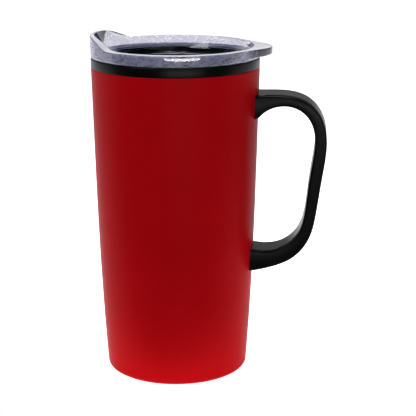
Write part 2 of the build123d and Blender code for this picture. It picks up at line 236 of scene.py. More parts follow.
def drawn(name, points):
    """A chain of edges through the points, drawn by extruding one vertex; stays in edit mode."""
    deselect()
    bpy.ops.mesh.primitive_plane_add(size=MM, location=(0, 0, 0))
    piece = bpy.context.object
    piece.name = name
    bpy.ops.object.mode_set(mode="EDIT")
    bpy.ops.mesh.select_mode(type="VERT")
    bpy.ops.mesh.select_all(action="SELECT")
    bpy.ops.mesh.merge(type="CENTER")
    places = [Vector(p) * MM for p in points]
    bpy.ops.transform.translate(value=places[0])
    for before, after in zip(places, places[1:]):
        bpy.ops.mesh.extrude_vertices_move(TRANSFORM_OT_translate={"value": after - before})
    return piece


def turned(name, profile):
    """A profile of (radius, height) points spun round the mug's axis."""
    piece = drawn(name, [(r, 0, z) for r, z in profile])
    bpy.ops.mesh.select_all(action="SELECT")
    bpy.ops.mesh.spin(steps=TURN_STEPS, angle=math.tau, center=(0, 0, 0), axis=(0, 0, 1))
    clean(piece)
    return settle(piece, name)


def extruded(name, ring, along):
    """A ring of points filled with a face, which is extruded to a solid."""
    piece = drawn(name, [*ring, ring[0]])
    bpy.ops.mesh.select_all(action="SELECT")
    bpy.ops.mesh.remove_doubles(threshold=MERGE_GAP * MM)
    bpy.ops.mesh.edge_face_add()
    shift = [length * MM for length in along]
    bpy.ops.mesh.extrude_region_move(TRANSFORM_OT_translate={"value": shift})
    clean(piece)
    return settle(piece, name)


def slab(name, outline, low_z, high_z):
    """A flat outline of (x, y) points raised to a solid between two heights."""
    return extruded(name, [(x, y, low_z) for x, y in outline], (0, 0, high_z - low_z))


def brick(name, lowest, highest):
    """A block between two corners."""
    (x0, y0, z0), (x1, y1, z1) = lowest, highest
    return slab(name, ((x0, y0), (x1, y0), (x1, y1), (x0, y1)), z0, z1)


def arc(centre, radius, start, end, steps=CORNER_STEPS):
    """Points on an arc round centre, from one angle to another, in degrees."""
    points = []
    for step in range(steps + 1):
        angle = math.radians(start + (end - start) * step / steps)
        points.append((centre[0] + radius * math.cos(angle), centre[1] + radius * math.sin(angle)))
    return points


def rounded(corners):
    """An outline through (r, z, radius) corners, each rounded by an arc of its own radius."""
    outline = []
    for i, (r, z, radius) in enumerate(corners):
        here = Vector((r, z))
        if radius == 0 or i in (0, len(corners) - 1):
            outline.append((r, z))
            continue
        back = (Vector(corners[i - 1][:2]) - here).normalized()
        ahead = (Vector(corners[i + 1][:2]) - here).normalized()
        half_angle = back.angle(ahead) / 2
        reach = radius / math.tan(half_angle)
        centre = here + (back + ahead).normalized() * (radius / math.sin(half_angle))
        first = here + back * reach - centre
        last = here + ahead * reach - centre
        for step in range(CORNER_STEPS + 1):
            spoke = first.lerp(last, step / CORNER_STEPS).normalized() * radius
            outline.append(tuple(centre + spoke))
    return outline


def through(points, count):
    """A smooth natural spline through the points, as that many evenly spread points."""
    knots = np.array(points, float)
    spans = np.linalg.norm(np.diff(knots, axis=0), axis=1)
    at = np.concatenate(([0.0], np.cumsum(spans)))
    size = len(knots)
    matrix = np.eye(size)
    right = np.zeros_like(knots)
    for i in range(1, size - 1):
        matrix[i, i - 1:i + 2] = spans[i - 1], 2 * (spans[i - 1] + spans[i]), spans[i]
        right[i] = 6 * ((knots[i + 1] - knots[i]) / spans[i] - (knots[i] - knots[i - 1]) / spans[i - 1])
    bend = np.linalg.solve(matrix, right)
    result = []
    for place in np.linspace(0, at[-1], count):
        i = min(int(np.searchsorted(at, place, side="right")) - 1, size - 2)
        span, ahead, behind = spans[i], at[i + 1] - place, place - at[i]
        result.append((bend[i] * ahead**3 + bend[i + 1] * behind**3) / (6 * span)
                      + (knots[i] / span - bend[i] * span / 6) * ahead
                      + (knots[i + 1] / span - bend[i + 1] * span / 6) * behind)
    return np.array(result)


def shell_radius(z, inset=0.0):
    """Radius of the shell's outside at height z, less the inset."""
    drop = 1 - z / SHELL_TOP_Z
    return SHELL_TOP_R * (1 - TAPER * drop + BELLY * drop**2 - TUCK * drop**3) - inset


def wall(inset, low_z, high_z):
    """Corners along the bellied wall, from one height to another."""
    heights = [low_z + (high_z - low_z) * step / WALL_STEPS for step in range(WALL_STEPS + 1)]
    return [(shell_radius(z, inset), z, 0) for z in heights]


# ------------------------------------------------------------------ the pieces

def make_shell():
    """Steel shell with its rolled top edge, base corner and raised base panel."""
    foot, corner = SHELL_FOOT_Z, BASE_CORNER_R
    inner_low = foot + SHELL_WALL
    panel_top = BASE_PANEL_Z + SHELL_WALL
    low_r = shell_radius(foot + corner)
    corners = [
        (0, BASE_PANEL_Z, 0), (BASE_RECESS_R, BASE_PANEL_Z, 0.5), (BASE_RECESS_R, foot, 0.3),
        (low_r, foot, corner),
        *wall(0, foot + corner + 0.2, SHELL_TOP_Z - 0.5),
        (SHELL_TOP_R, SHELL_TOP_Z, 0.3), (SHELL_TOP_R - SHELL_WALL, SHELL_TOP_Z, 0.3),
        *reversed(wall(SHELL_WALL, foot + corner + 0.2, SHELL_TOP_Z - 0.5)),
        (low_r - SHELL_WALL, inner_low, corner - SHELL_WALL), (BASE_RECESS_R + SHELL_WALL, inner_low, 0.3),
        (BASE_RECESS_R + SHELL_WALL, panel_top, 0.3), (0, panel_top, 0),
    ]
    shell = turned("steel_shell", rounded(corners))
    smooth(shell, 30)
    return shell


def make_liner():
    """Liner cup with its solid rim, whose side is the band over the shell."""
    inner = LINER_INSET + LINER_WALL
    floor = LINER_BOTTOM_Z + LINER_FLOOR
    rim_in_r = SHELL_TOP_R - inner
    outer_low = LINER_BOTTOM_Z + LINER_CORNER_R
    inner_low = floor + LINER_CORNER_R - LINER_WALL
    corners = [
        (0, LINER_BOTTOM_Z, 0), (shell_radius(outer_low, LINER_INSET), LINER_BOTTOM_Z, LINER_CORNER_R),
        *wall(LINER_INSET, outer_low + 0.2, SHELL_TOP_Z - 0.2),
        (SHELL_TOP_R - LINER_INSET, SHELL_TOP_Z, 0), (SKIRT_IN_R, SHELL_TOP_Z, 0.2),
        (SKIRT_IN_R, SKIRT_LOW_Z, 0.3), (SKIRT_OUT_R, SKIRT_LOW_Z, 0.3),
        (SKIRT_OUT_R, SHELL_TOP_Z, 0.1), (SHELL_TOP_R, SHELL_TOP_Z, 0.35),
        (SHELL_TOP_R, RIM_TOP_Z, RIM_EDGE_R), (rim_in_r, RIM_TOP_Z, RIM_EDGE_R),
        *reversed(wall(inner, inner_low + 0.2, SHELL_TOP_Z)),
        (shell_radius(inner_low, inner), floor, LINER_CORNER_R - LINER_WALL), (0, floor, 0),
    ]
    liner = turned("liner", rounded(corners))
    smooth(liner, 30)
    return liner


def strap_section(half_w, thickness):
    """Half of the strap's section as (y, depth) points, from its outer face's middle to its inner face's."""
    edge_r = min(HANDLE_EDGE_R, thickness / 2 - 0.2)
    groove = [(0, 0), (half_w / 2, 0), (half_w - BEAD_IN, 0), (half_w - BEAD_IN + 0.35, BEAD_GROOVE),
              (half_w - edge_r - 0.45, BEAD_GROOVE), (half_w - edge_r - 0.1, 0)]
    corner = [(half_w - edge_r + edge_r * math.sin(a), edge_r - edge_r * math.cos(a))
              for a in (math.pi / 2 * step / CORNER_STEPS for step in range(CORNER_STEPS + 1))]
    outer = groove + corner
    inner = [(y, thickness - depth) for y, depth in reversed(outer)]
    return outer + [(half_w, thickness / 2)] + inner


def on_shell(point):
    """The point moved along X until it lies on the outside of the shell."""
    radius = shell_radius(point.z / MM) + HANDLE_GAP
    return Vector((math.sqrt(radius**2 - (point.y / MM)**2) * MM, point.y, point.z))


def make_handle():
    """Strap handle: one section extruded from station to station and shaped at each."""
    outer = [p for p in through(HANDLE_OUTER, SPLINE_POINTS) if p[0] > shell_radius(p[1])]
    inner = [p for p in reversed(through(HANDLE_INNER, SPLINE_POINTS)) if p[0] > shell_radius(p[1])]
    (top_z, top_half), (low_z, low_half) = HANDLE_HALF_W_HIGH, HANDLE_HALF_W_LOW
    rings = []
    for station in range(HANDLE_STATIONS):
        share = station / (HANDLE_STATIONS - 1)
        out_x, out_z = outer[round(share * (len(outer) - 1))]
        in_x, in_z = inner[round(share * (len(inner) - 1))]
        across = Vector((in_x - out_x, 0, in_z - out_z))
        half_w = low_half + (top_half - low_half) * ((out_z + in_z) / 2 - low_z) / (top_z - low_z)
        half = strap_section(half_w, across.length)
        around = half + [(-y, depth) for y, depth in reversed(half[1:-1])]
        inwards = across.normalized()
        rings.append([Vector((out_x, y, out_z)) * MM + inwards * (depth * MM) for y, depth in around])
    rings[0] = [on_shell(p) for p in rings[0]]
    rings[-1] = [on_shell(p) for p in rings[-1]]
    count = len(rings[0])
    deselect()
    # A blank prism, whose rings are then set to the stations one by one
    bpy.ops.mesh.primitive_circle_add(vertices=count, radius=10 * MM, fill_type="NGON")
    strap = bpy.context.object
    bpy.ops.object.mode_set(mode="EDIT")
    for _ in range(HANDLE_STATIONS - 1):
        bpy.ops.mesh.extrude_region_move(TRANSFORM_OT_translate={"value": (0, 0, MM)})
    bpy.ops.object.mode_set(mode="OBJECT")
    for index, vertex in enumerate(strap.data.vertices):
        station, around = divmod(index, count)
        vertex.co = rings[station][around]
    clean(strap)
    smooth(strap, 40)
    return settle(strap, "handle_strap")


def lip_rise(y):
    """Height of the drinking lip over the flange, in millimetres."""
    if abs(y) >= LIP_HALF_W:
        return 0.0
    return LIP_HEIGHT * math.cos(math.pi / 2 * (abs(y) / LIP_HALF_W)**LIP_BLUNTNESS)**2


def tab_reach(angle):
    """How far the tab stands out of the flange, at an angle in radians from the handle."""
    share = abs(angle) / math.radians(TAB_HALF_ANGLE)
    return TAB_REACH * math.cos(math.pi / 2 * share)**2 if share < 1 else 0.0


def lid_profile():
    """The lid's section, before its lip is raised and its tab is drawn out."""
    under = rounded([
        (0, PLUG_LOW_Z, 0), (PLUG_OUT_R, PLUG_LOW_Z, 0.7),
        (PLUG_OUT_R, SEAL_LOW_Z - SEAL_PLAY, 0.15), (SEAL_GROOVE_R, SEAL_LOW_Z - SEAL_PLAY, 0.1),
        (SEAL_GROOVE_R, SEAL_HIGH_Z + SEAL_PLAY, 0.1), (PLUG_OUT_R, SEAL_HIGH_Z + SEAL_PLAY, 0.15),
        (PLUG_OUT_R, LID_BOTTOM_Z, 0.3), (LID_R, LID_BOTTOM_Z, 1.0), (LID_R, TAB_LOW_Z - 0.05, 0),
    ])
    tab = [(LID_R, z) for _, z in arc((0, TAB_LOW_Z + TAB_EDGE_R), TAB_EDGE_R, -90, 0)]
    side = [(LID_R, TAB_LOW_Z + TAB_EDGE_R + SIDE_BAND_H)]
    top = rounded([(LID_R, LID_TOP_Z - SIDE_BAND_H, 0), (LID_R, LID_TOP_Z, 0.55),
                   (RECESS_TOP_R, LID_TOP_Z, 0.4), (PLUG_IN_R, SHOULDER_Z, 0.8),
                   (PLUG_IN_R, FLOOR_Z, 1.2), (0, FLOOR_Z, 0)])
    return under, tab, side + top


def make_lid():
    """Clear lid: a turned body, its flange raised to a lip and drawn out to a tab, then railed and cut."""
    under, tab, top = lid_profile()
    lid = turned("clear_lid", under + tab + top)
    for vertex in lid.data.vertices:
        x, y, z = vertex.co / MM
        r, angle = math.hypot(x, y), math.atan2(y, x)
        if r > LID_R - 0.2 and z < DRAFT_TOP_Z:
            r -= (DRAFT_TOP_Z - z) * DRAFT
        if z > TAB_LOW_Z - 0.01 and r > RECESS_TOP_R + 2:
            shift = tab_reach(angle)
            if z < TAB_LOW_Z + TAB_EDGE_R:
                fallen = (TAB_LOW_Z + TAB_EDGE_R - z) / TAB_EDGE_R
                shift = max(0.0, shift - TAB_EDGE_R * (1 - math.sqrt(max(0.0, 1 - fallen**2))))
            r += shift
        if z > LID_TOP_Z - LIP_ROOT_H and r > PLUG_IN_R + 1 and x < 0:
            rise = lip_rise(y)
            weight = min(1.0, (z - LID_TOP_Z + LIP_ROOT_H) / LIP_BLEND_H)
            inward = min(1.0, max(0.0, (LID_R - 1 - r) / (LID_R - 1 - RECESS_TOP_R)))
            r += (LIP_TOP_IN_R - RECESS_TOP_R) * rise / LIP_HEIGHT * inward * weight
            z += rise * weight
        vertex.co = Vector((r * math.cos(angle), r * math.sin(angle), z)) * MM
    for rail in make_rails():
        combine(lid, rail, "UNION")
    sip_plan = (arc((SIP_X, SIP_HALF_LEN - SIP_R), SIP_R, 0, 180, 10)
                + arc((SIP_X, -SIP_HALF_LEN + SIP_R), SIP_R, 180, 360, 10))
    vent_plan = arc((VENT_X, 0), VENT_R, *FULL_RING)
    for name, plan in (("sip_cut", sip_plan), ("vent_cut", vent_plan)):
        combine(lid, slab(name, plan, PLUG_LOW_Z - CUT_PAST, FLOOR_Z + CUT_PAST), "DIFFERENCE")
    smooth(lid, 32)
    return settle(lid, "clear_lid")


def make_rails():
    """Two hooked rails and a rear stop that stand on the lid's floor."""
    lift = SLIDER_LOW_Z + SLIDER_PLATE_H + SLIDER_GAP
    wall_in = SLIDER_HALF_W + SLIDER_GAP
    wall_out = wall_in + RAIL_WALL
    rear_x = SLIDER_REAR_X + SLIDER_GAP + STOP_W
    low_z = FLOOR_Z - RAIL_SINK
    hook = [(wall_in, low_z), (wall_out, low_z), (wall_out, lift + RAIL_LIP_H),
            (wall_in - RAIL_LIP, lift + RAIL_LIP_H), (wall_in - RAIL_LIP, lift), (wall_in, lift)]
    rails = []
    for sign in (-1, 1):
        side = [(RAIL_FRONT_X, sign * y, z) for y, z in hook]
        rail = extruded("rail", side, (rear_x - RAIL_FRONT_X, 0, 0))
        modify(rail, "BEVEL", width=RAIL_BEVEL * MM, segments=2, limit_method="ANGLE")
        rails.append(rail)
    stop = brick("stop", (rear_x - STOP_W, -wall_out + 0.2, low_z),
                 (rear_x - 0.1, wall_out - 0.2, FLOOR_Z + STOP_H))
    modify(stop, "BEVEL", width=STOP_BEVEL * MM, segments=2, limit_method="ANGLE")
    return rails + [stop]


def slider_plan(half_w):
    """Outline of the slider: a broad round front end and rounded rear corners."""
    centre_x = SLIDER_FRONT_X + SLIDER_FRONT_R
    half_angle = math.degrees(math.asin(half_w / SLIDER_FRONT_R))
    r, rear = SLIDER_CORNER_R, SLIDER_REAR_X
    return (arc((centre_x, 0), SLIDER_FRONT_R, 180 - half_angle, 180 + half_angle, 16)
            + arc((rear - r, -half_w + r), r, -90, 0, 8) + arc((rear - r, half_w - r), r, 0, 90, 8))


def make_slider():
    """Clear slider: plate, raised body and three thumb ribs in one moulding."""
    plate_top = SLIDER_LOW_Z + SLIDER_PLATE_H
    slider = slab("clear_slider", slider_plan(SLIDER_HALF_W), SLIDER_LOW_Z, plate_top)
    modify(slider, "BEVEL", width=PLATE_BEVEL * MM, segments=2, limit_method="ANGLE")
    body = slab("slider_body", slider_plan(SLIDER_BODY_HALF_W), SLIDER_LOW_Z + 0.4, SLIDER_TOP_Z)
    modify(body, "BEVEL", width=BODY_BEVEL * MM, segments=3, limit_method="ANGLE")
    combine(slider, body, "UNION")
    for x in THUMB_RIB_X:
        end = [(px, -THUMB_RIB_HALF_LEN, pz)
               for px, pz in arc((x, SLIDER_TOP_Z - 0.3), THUMB_RIB_R, *FULL_RING)]
        rib = extruded("rib", end, (0, 2 * THUMB_RIB_HALF_LEN, 0))
        modify(rib, "BEVEL", width=RIB_BEVEL * MM, segments=3, limit_method="ANGLE",
               angle_limit=math.radians(60))
        combine(slider, rib, "UNION")
    pocket_low, pocket_high = low("slider_seal"), high("slider_seal")
    pocket = brick("pocket", (pocket_low.x, pocket_low.y, SLIDER_LOW_Z - 1), tuple(pocket_high))
    combine(slider, pocket, "DIFFERENCE")
    smooth(slider, 32)
    return settle(slider, "clear_slider")


def make_lid_seal():
    """Silicone ring with two rounded wiping lips."""
    third = (SEAL_HIGH_Z - SEAL_LOW_Z) / 3
    body_r = PLUG_OUT_R + 0.2
    seal = turned("plug_seal", rounded([
        (SEAL_GROOVE_R, SEAL_LOW_Z + SEAL_SEAM_H, 0), (SEAL_GROOVE_R, SEAL_LOW_Z, 0.15),
        (SEAL_OUT_R, SEAL_LOW_Z, 0.35), (SEAL_OUT_R, SEAL_LOW_Z + third, 0.45),
        (body_r, SEAL_LOW_Z + third, 0.2), (body_r, SEAL_HIGH_Z - third, 0.2),
        (SEAL_OUT_R, SEAL_HIGH_Z - third, 0.35), (SEAL_OUT_R, SEAL_HIGH_Z, 0.45),
        (SEAL_GROOVE_R, SEAL_HIGH_Z, 0.15), (SEAL_GROOVE_R, SEAL_LOW_Z + SEAL_SEAM_H, 0)]))
    smooth(seal, 40)
    return seal


def make_foot_pad():
    """Rubber foot pad with ring grooves in the face that it stands on."""
    corners = [(0, 0, 0)]
    for radius in PAD_GROOVE_RADII:
        outer_r = radius + PAD_GROOVE_W
        corners += [(radius, 0, 0.2), (radius, PAD_GROOVE_D, 0.2),
                    (outer_r, PAD_GROOVE_D, 0.2), (outer_r, 0, 0.2)]
    corners += [(PAD_R, 0, 0.5), (PAD_R, PAD_TOP_Z, 0.15), (0, PAD_TOP_Z, 0)]
    pad = turned("anti_slip_pad", rounded(corners))
    smooth(pad, 40)
    return pad


# ------------------------------------------------------------------ materials

def colour(code):
    """A linear colour from an sRGB hex code."""
    parts = [int(code[i:i + 2], 16) / 255 for i in (0, 2, 4)]
    return tuple(c / 12.92 if c <= 0.04045 else ((c + 0.055) / 1.055)**2.4 for c in parts) + (1.0,)


def add(tree, kind, settings=None, links=None):
    """A node with its settings, which are inputs, properties or a ramp's stops, and its incoming links."""
    node = tree.nodes.new(kind)
    for key, value in (settings or {}).items():
        if key == "stops":
            ramp = node.color_ramp.elements
            for stop, (position, tone) in zip(ramp, value):
                stop.position, stop.color = position, tone
            for position, tone in value[2:]:
                ramp.new(position).color = tone
        elif key in node.inputs:
            node.inputs[key].default_value = value
        else:
            setattr(node, key, value)
    for key, socket in (links or {}).items():
        tree.links.new(socket, node.inputs[key])
    return node


def new_material(name):
    """An empty node material, its tree and a socket with its Object coordinates."""
    material = bpy.data.materials.new(name)
    material.use_nodes = True
    tree = material.node_tree
    tree.nodes.clear()
    return material, tree, add(tree, "ShaderNodeTexCoord").outputs["Object"]


# The part of a noise's range that its values mostly fill, for a Map Range and for a ramp's stops
MIDDLE = {"From Min": 0.3, "From Max": 0.7}
MIDDLE_LOW, MIDDLE_HIGH = 0.3, 0.7
# A ramp's tones where it only gives a share
NONE, FULL = (0, 0, 0, 1), (1, 1, 1, 1)
# Radii in millimetres: the band of milky flow marks and painted violet refraction shade takes in the
# flange's side, the frosting with its painted top light starts past the recess
SIDE_MILK_AND_SHADE_IN_R, SIDE_MILK_AND_SHADE_OUT_R = 41, 46
FROST_AND_TOP_LIGHT_IN_R, FROST_AND_TOP_LIGHT_OUT_R = 39.3, 40.3


def powder_coated_steel():
    """Red polyester powder coat, sprayed dry and baked: matte, with a fine orange peel."""
    material, tree, place = new_material("powder_coated_steel_red")
    cloud = add(tree, "ShaderNodeTexNoise", {"Scale": 1 / (28.0 * MM), "Detail": 3.0}, {"Vector": place})
    # Orange peel, 0.7 mm from crest to crest
    peel = add(tree, "ShaderNodeTexNoise", {"Scale": 1 / (0.7 * MM), "Detail": 3.0}, {"Vector": place})
    tone = add(tree, "ShaderNodeValToRGB",
               {"stops": ((MIDDLE_LOW, colour("ae070d")), (MIDDLE_HIGH, colour("b40911")))},
               {"Fac": cloud.outputs["Fac"]})
    rough = add(tree, "ShaderNodeMapRange", {**MIDDLE, "To Min": 0.36, "To Max": 0.44},
                {"Value": peel.outputs["Fac"]})
    bump = add(tree, "ShaderNodeBump", {"Strength": 0.25, "Distance": 0.02 * MM},
               {"Height": peel.outputs["Fac"]})
    shader = add(tree, "ShaderNodeBsdfPrincipled", {"IOR": 1.5, "Specular IOR Level": 0.015},
                 {"Base Color": tone.outputs["Color"], "Roughness": rough.outputs["Result"],
                  "Normal": bump.outputs["Normal"]})
    add(tree, "ShaderNodeOutputMaterial", links={"Surface": shader.outputs["BSDF"]})
    return material


def moulded_polypropylene():
    """Black injection-moulded polypropylene from a spark-eroded tool: a fine satin grain."""
    material, tree, place = new_material("moulded_polypropylene_black")
    cloud = add(tree, "ShaderNodeTexNoise", {"Scale": 1 / (15.0 * MM)}, {"Vector": place})
    # The tool's grain is about 0.1 mm, too fine to show, so it is drawn at 0.45 mm
    texture = add(tree, "ShaderNodeTexNoise", {"Scale": 1 / (0.45 * MM)}, {"Vector": place})
    tone = add(tree, "ShaderNodeValToRGB",
               {"stops": ((MIDDLE_LOW, colour("060606")), (MIDDLE_HIGH, colour("090908")))},
               {"Fac": cloud.outputs["Fac"]})
    rough = add(tree, "ShaderNodeMapRange", {**MIDDLE, "To Min": 0.28, "To Max": 0.36},
                {"Value": texture.outputs["Fac"]})
    bump = add(tree, "ShaderNodeBump", {"Strength": 0.3, "Distance": 0.02 * MM},
               {"Height": texture.outputs["Fac"]})
    shader = add(tree, "ShaderNodeBsdfPrincipled", {"IOR": 1.49, "Specular IOR Level": 0.09},
                 {"Base Color": tone.outputs["Color"], "Roughness": rough.outputs["Result"],
                  "Normal": bump.outputs["Normal"]})
    add(tree, "ShaderNodeOutputMaterial", links={"Surface": shader.outputs["BSDF"]})
    return material


def flange_milk_and_painted_light(tree, place):
    """How milky the lid is at a point, and how much of that is the frosting of its upward faces; the milk on
    the flange's side is partly painted refraction shade, the frosting partly a painted top light.
    """
    level = add(tree, "ShaderNodeMapping", {"Scale": (1, 1, 0)}, {"Vector": place})
    radius = add(tree, "ShaderNodeVectorMath", {"operation": "LENGTH"}, {"Vector": level.outputs["Vector"]})
    share = add(tree, "ShaderNodeMapRange", {"From Min": SIDE_MILK_AND_SHADE_IN_R * MM, "From Max": SIDE_MILK_AND_SHADE_OUT_R * MM},
                {"Value": radius.outputs["Value"]})
    side = add(tree, "ShaderNodeValToRGB",
               {"stops": ((0.3, NONE), (0.4, FULL), (0.48, FULL), (0.6, NONE))},
               {"Fac": share.outputs["Result"]})
    # Flow marks about 4 mm across, flattened by the flow round the flange; their mottle also paints the
    # refraction shade of the flange's side
    stretch = add(tree, "ShaderNodeMapping", {"Scale": (1, 1, 2.5)}, {"Vector": place})
    marks_and_shade_mottle = add(tree, "ShaderNodeTexNoise", {"Scale": 1 / (4 * MM), "Detail": 3.0, "Distortion": 1.2},
                {"Vector": stretch.outputs["Vector"]})
    # The milky share of the flange's side; its violet mottle is partly painted refraction shade
    milk_and_painted_shade = add(tree, "ShaderNodeMapRange",
               {"From Min": 0.35, "From Max": 0.65, "To Min": 0.22, "To Max": 0.42},
               {"Value": marks_and_shade_mottle.outputs["Fac"]})
    cloud = add(tree, "ShaderNodeMath", {"operation": "MULTIPLY"},
                {0: side.outputs["Color"], 1: milk_and_painted_shade.outputs["Result"]})
    # Upward faces of the flange are frosted and made whiter: a painted top light
    facing = add(tree, "ShaderNodeNewGeometry")
    upward = add(tree, "ShaderNodeSeparateXYZ", links={"Vector": facing.outputs["Normal"]})
    frost_and_top_light = add(tree, "ShaderNodeMapRange", {"From Min": 0.6, "From Max": 0.95, "To Max": 0.7},
                {"Value": upward.outputs["Z"]})
    flange = add(tree, "ShaderNodeMapRange", {"From Min": FROST_AND_TOP_LIGHT_IN_R * MM, "From Max": FROST_AND_TOP_LIGHT_OUT_R * MM},
                 {"Value": radius.outputs["Value"]})
    top = add(tree, "ShaderNodeMath", {"operation": "MULTIPLY"},
              {0: frost_and_top_light.outputs["Result"], 1: flange.outputs["Result"]})
    veil_with_painted_light = add(tree, "ShaderNodeMath", {"operation": "MAXIMUM"},
               {0: cloud.outputs["Value"], 1: top.outputs["Value"]})
    return veil_with_painted_light.outputs["Value"], top.outputs["Value"]


def clear_san(name, veiled_with_painted_light):
    """Clear injection-moulded SAN with a blue toner: polished, and bluer where it is thick.

    The veiled one is the lid's: flow marks cloud its flange's side in a violet that is painted refraction
    shade, and its flange's upward faces are lightly frosted and painted whiter as a painted top light.
    """
    material, tree, place = new_material(name)
    flow = add(tree, "ShaderNodeTexNoise", {"Scale": 1 / (5.0 * MM), "Detail": 1.0}, {"Vector": place})
    haze = add(tree, "ShaderNodeTexNoise", {"Scale": 1 / (1.5 * MM)}, {"Vector": place})
    rough = add(tree, "ShaderNodeMapRange", {**MIDDLE, "To Min": 0.015, "To Max": 0.045},
                {"Value": haze.outputs["Fac"]})
    bump = add(tree, "ShaderNodeBump", {"Strength": 0.1, "Distance": 0.03 * MM},
               {"Height": flow.outputs["Fac"]})
    shader = add(tree, "ShaderNodeBsdfPrincipled",
                 {"IOR": 1.57, "Transmission Weight": 1.0, "Base Color": colour("e0e0e3")},
                 {"Roughness": rough.outputs["Result"], "Normal": bump.outputs["Normal"]})
    surface = shader.outputs["BSDF"]
    if veiled_with_painted_light:
        veil_with_painted_light, top = flange_milk_and_painted_light(tree, place)
        # The milky skin is painted violet on the flange's side as refraction shade and near white on its
        # upward faces as painted top light
        tone = add(tree, "ShaderNodeValToRGB",
                   {"stops": ((MIDDLE_LOW, colour("d4d4f6")), (MIDDLE_HIGH, colour("f2f2f2")))},
                   {"Fac": top})
        skin = add(tree, "ShaderNodeBsdfPrincipled", {"IOR": 1.57, "Roughness": 0.3},
                   {"Base Color": tone.outputs["Color"], "Normal": bump.outputs["Normal"]})
        mixed = add(tree, "ShaderNodeMixShader", links={"Fac": veil_with_painted_light, 1: surface, 2: skin.outputs["BSDF"]})
        surface = mixed.outputs["Shader"]
    toner = add(tree, "ShaderNodeVolumeAbsorption", {"Color": (0.10, 0.12, 0.36, 1.0), "Density": 60.0})
    add(tree, "ShaderNodeOutputMaterial", links={"Surface": surface, "Volume": toner.outputs["Volume"]})
    return material


def moulded_silicone(name, dark, light):
    """Moulded silicone rubber: soft sheen and a dusty, slightly uneven skin."""
    material, tree, place = new_material(name)
    cloud = add(tree, "ShaderNodeTexNoise", {"Scale": 1 / (4.0 * MM)}, {"Vector": place})
    # Dust is finer than 0.5 mm, and is drawn at that size to show
    skin = add(tree, "ShaderNodeTexNoise", {"Scale": 1 / (0.5 * MM)}, {"Vector": place})
    tone = add(tree, "ShaderNodeValToRGB",
               {"stops": ((MIDDLE_LOW, colour(dark)), (MIDDLE_HIGH, colour(light)))},
               {"Fac": cloud.outputs["Fac"]})
    rough = add(tree, "ShaderNodeMapRange", {**MIDDLE, "To Min": 0.42, "To Max": 0.58},
                {"Value": skin.outputs["Fac"]})
    bump = add(tree, "ShaderNodeBump", {"Strength": 0.2, "Distance": 0.02 * MM},
               {"Height": skin.outputs["Fac"]})
    shader = add(tree, "ShaderNodeBsdfPrincipled", {"IOR": 1.41},
                 {"Base Color": tone.outputs["Color"], "Roughness": rough.outputs["Result"],
                  "Normal": bump.outputs["Normal"]})
    add(tree, "ShaderNodeOutputMaterial", links={"Surface": shader.outputs["BSDF"]})
    return material


def pebbled_rubber():
    """Black anti-slip rubber with a coarse pebbled skin."""
    material, tree, place = new_material("pebbled_rubber_black")
    pebbles = add(tree, "ShaderNodeTexVoronoi", {"Scale": 1 / (0.9 * MM)}, {"Vector": place})
    cloud = add(tree, "ShaderNodeTexNoise", {"Scale": 1 / (10.0 * MM)}, {"Vector": place})
    tone = add(tree, "ShaderNodeValToRGB",
               {"stops": ((MIDDLE_LOW, colour("141414")), (MIDDLE_HIGH, colour("1e1e1d")))},
               {"Fac": cloud.outputs["Fac"]})
    rough = add(tree, "ShaderNodeMapRange", {**MIDDLE, "To Min": 0.7, "To Max": 0.85},
                {"Value": cloud.outputs["Fac"]})
    bump = add(tree, "ShaderNodeBump", {"Strength": 0.5, "Distance": 0.08 * MM},
               {"Height": pebbles.outputs["Distance"]})
    shader = add(tree, "ShaderNodeBsdfPrincipled", {"IOR": 1.52},
                 {"Base Color": tone.outputs["Color"], "Roughness": rough.outputs["Result"],
                  "Normal": bump.outputs["Normal"]})
    add(tree, "ShaderNodeOutputMaterial", links={"Surface": shader.outputs["BSDF"]})
    return material


def stainless_steel(name, streak_mm):
    """Stainless steel as rolled or cold-headed: bright grey, with fine streaks one way."""
    material, tree, place = new_material(name)
    # The tool's marks are a few hundredths of a millimetre wide, and are drawn wider to show
    stretch = add(tree, "ShaderNodeMapping", {"Scale": (1.0, 0.05, 1.0)}, {"Vector": place})
    streaks = add(tree, "ShaderNodeTexNoise", {"Scale": 1 / (streak_mm * MM), "Detail": 3.0},
                  {"Vector": stretch.outputs["Vector"]})
    tone = add(tree, "ShaderNodeValToRGB",
               {"stops": ((MIDDLE_LOW, colour("a9aaac")), (MIDDLE_HIGH, colour("c2c3c5")))},
               {"Fac": streaks.outputs["Fac"]})
    rough = add(tree, "ShaderNodeMapRange", {**MIDDLE, "To Min": 0.28, "To Max": 0.42},
                {"Value": streaks.outputs["Fac"]})
    shader = add(tree, "ShaderNodeBsdfPrincipled", {"Metallic": 1.0},
                 {"Base Color": tone.outputs["Color"], "Roughness": rough.outputs["Result"]})
    add(tree, "ShaderNodeOutputMaterial", links={"Surface": shader.outputs["BSDF"]})
    return material


def cell_foam():
    """Closed-cell polyethylene foam, cut from sheet: pale and matte with small open cells."""
    material, tree, place = new_material("closed_cell_foam")
    cells = add(tree, "ShaderNodeTexVoronoi", {"Scale": 1 / (1.2 * MM)}, {"Vector": place})
    tone = add(tree, "ShaderNodeValToRGB",
               {"stops": ((MIDDLE_LOW, colour("8f8f8b")), (MIDDLE_HIGH, colour("b9b9b4")))},
               {"Fac": cells.outputs["Distance"]})
    bump = add(tree, "ShaderNodeBump", {"Strength": 0.6, "Distance": 0.2 * MM},
               {"Height": cells.outputs["Distance"]})
    shader = add(tree, "ShaderNodeBsdfPrincipled", {"Roughness": 0.9},
                 {"Base Color": tone.outputs["Color"], "Normal": bump.outputs["Normal"]})
    add(tree, "ShaderNodeOutputMaterial", links={"Surface": shader.outputs["BSDF"]})
    return material


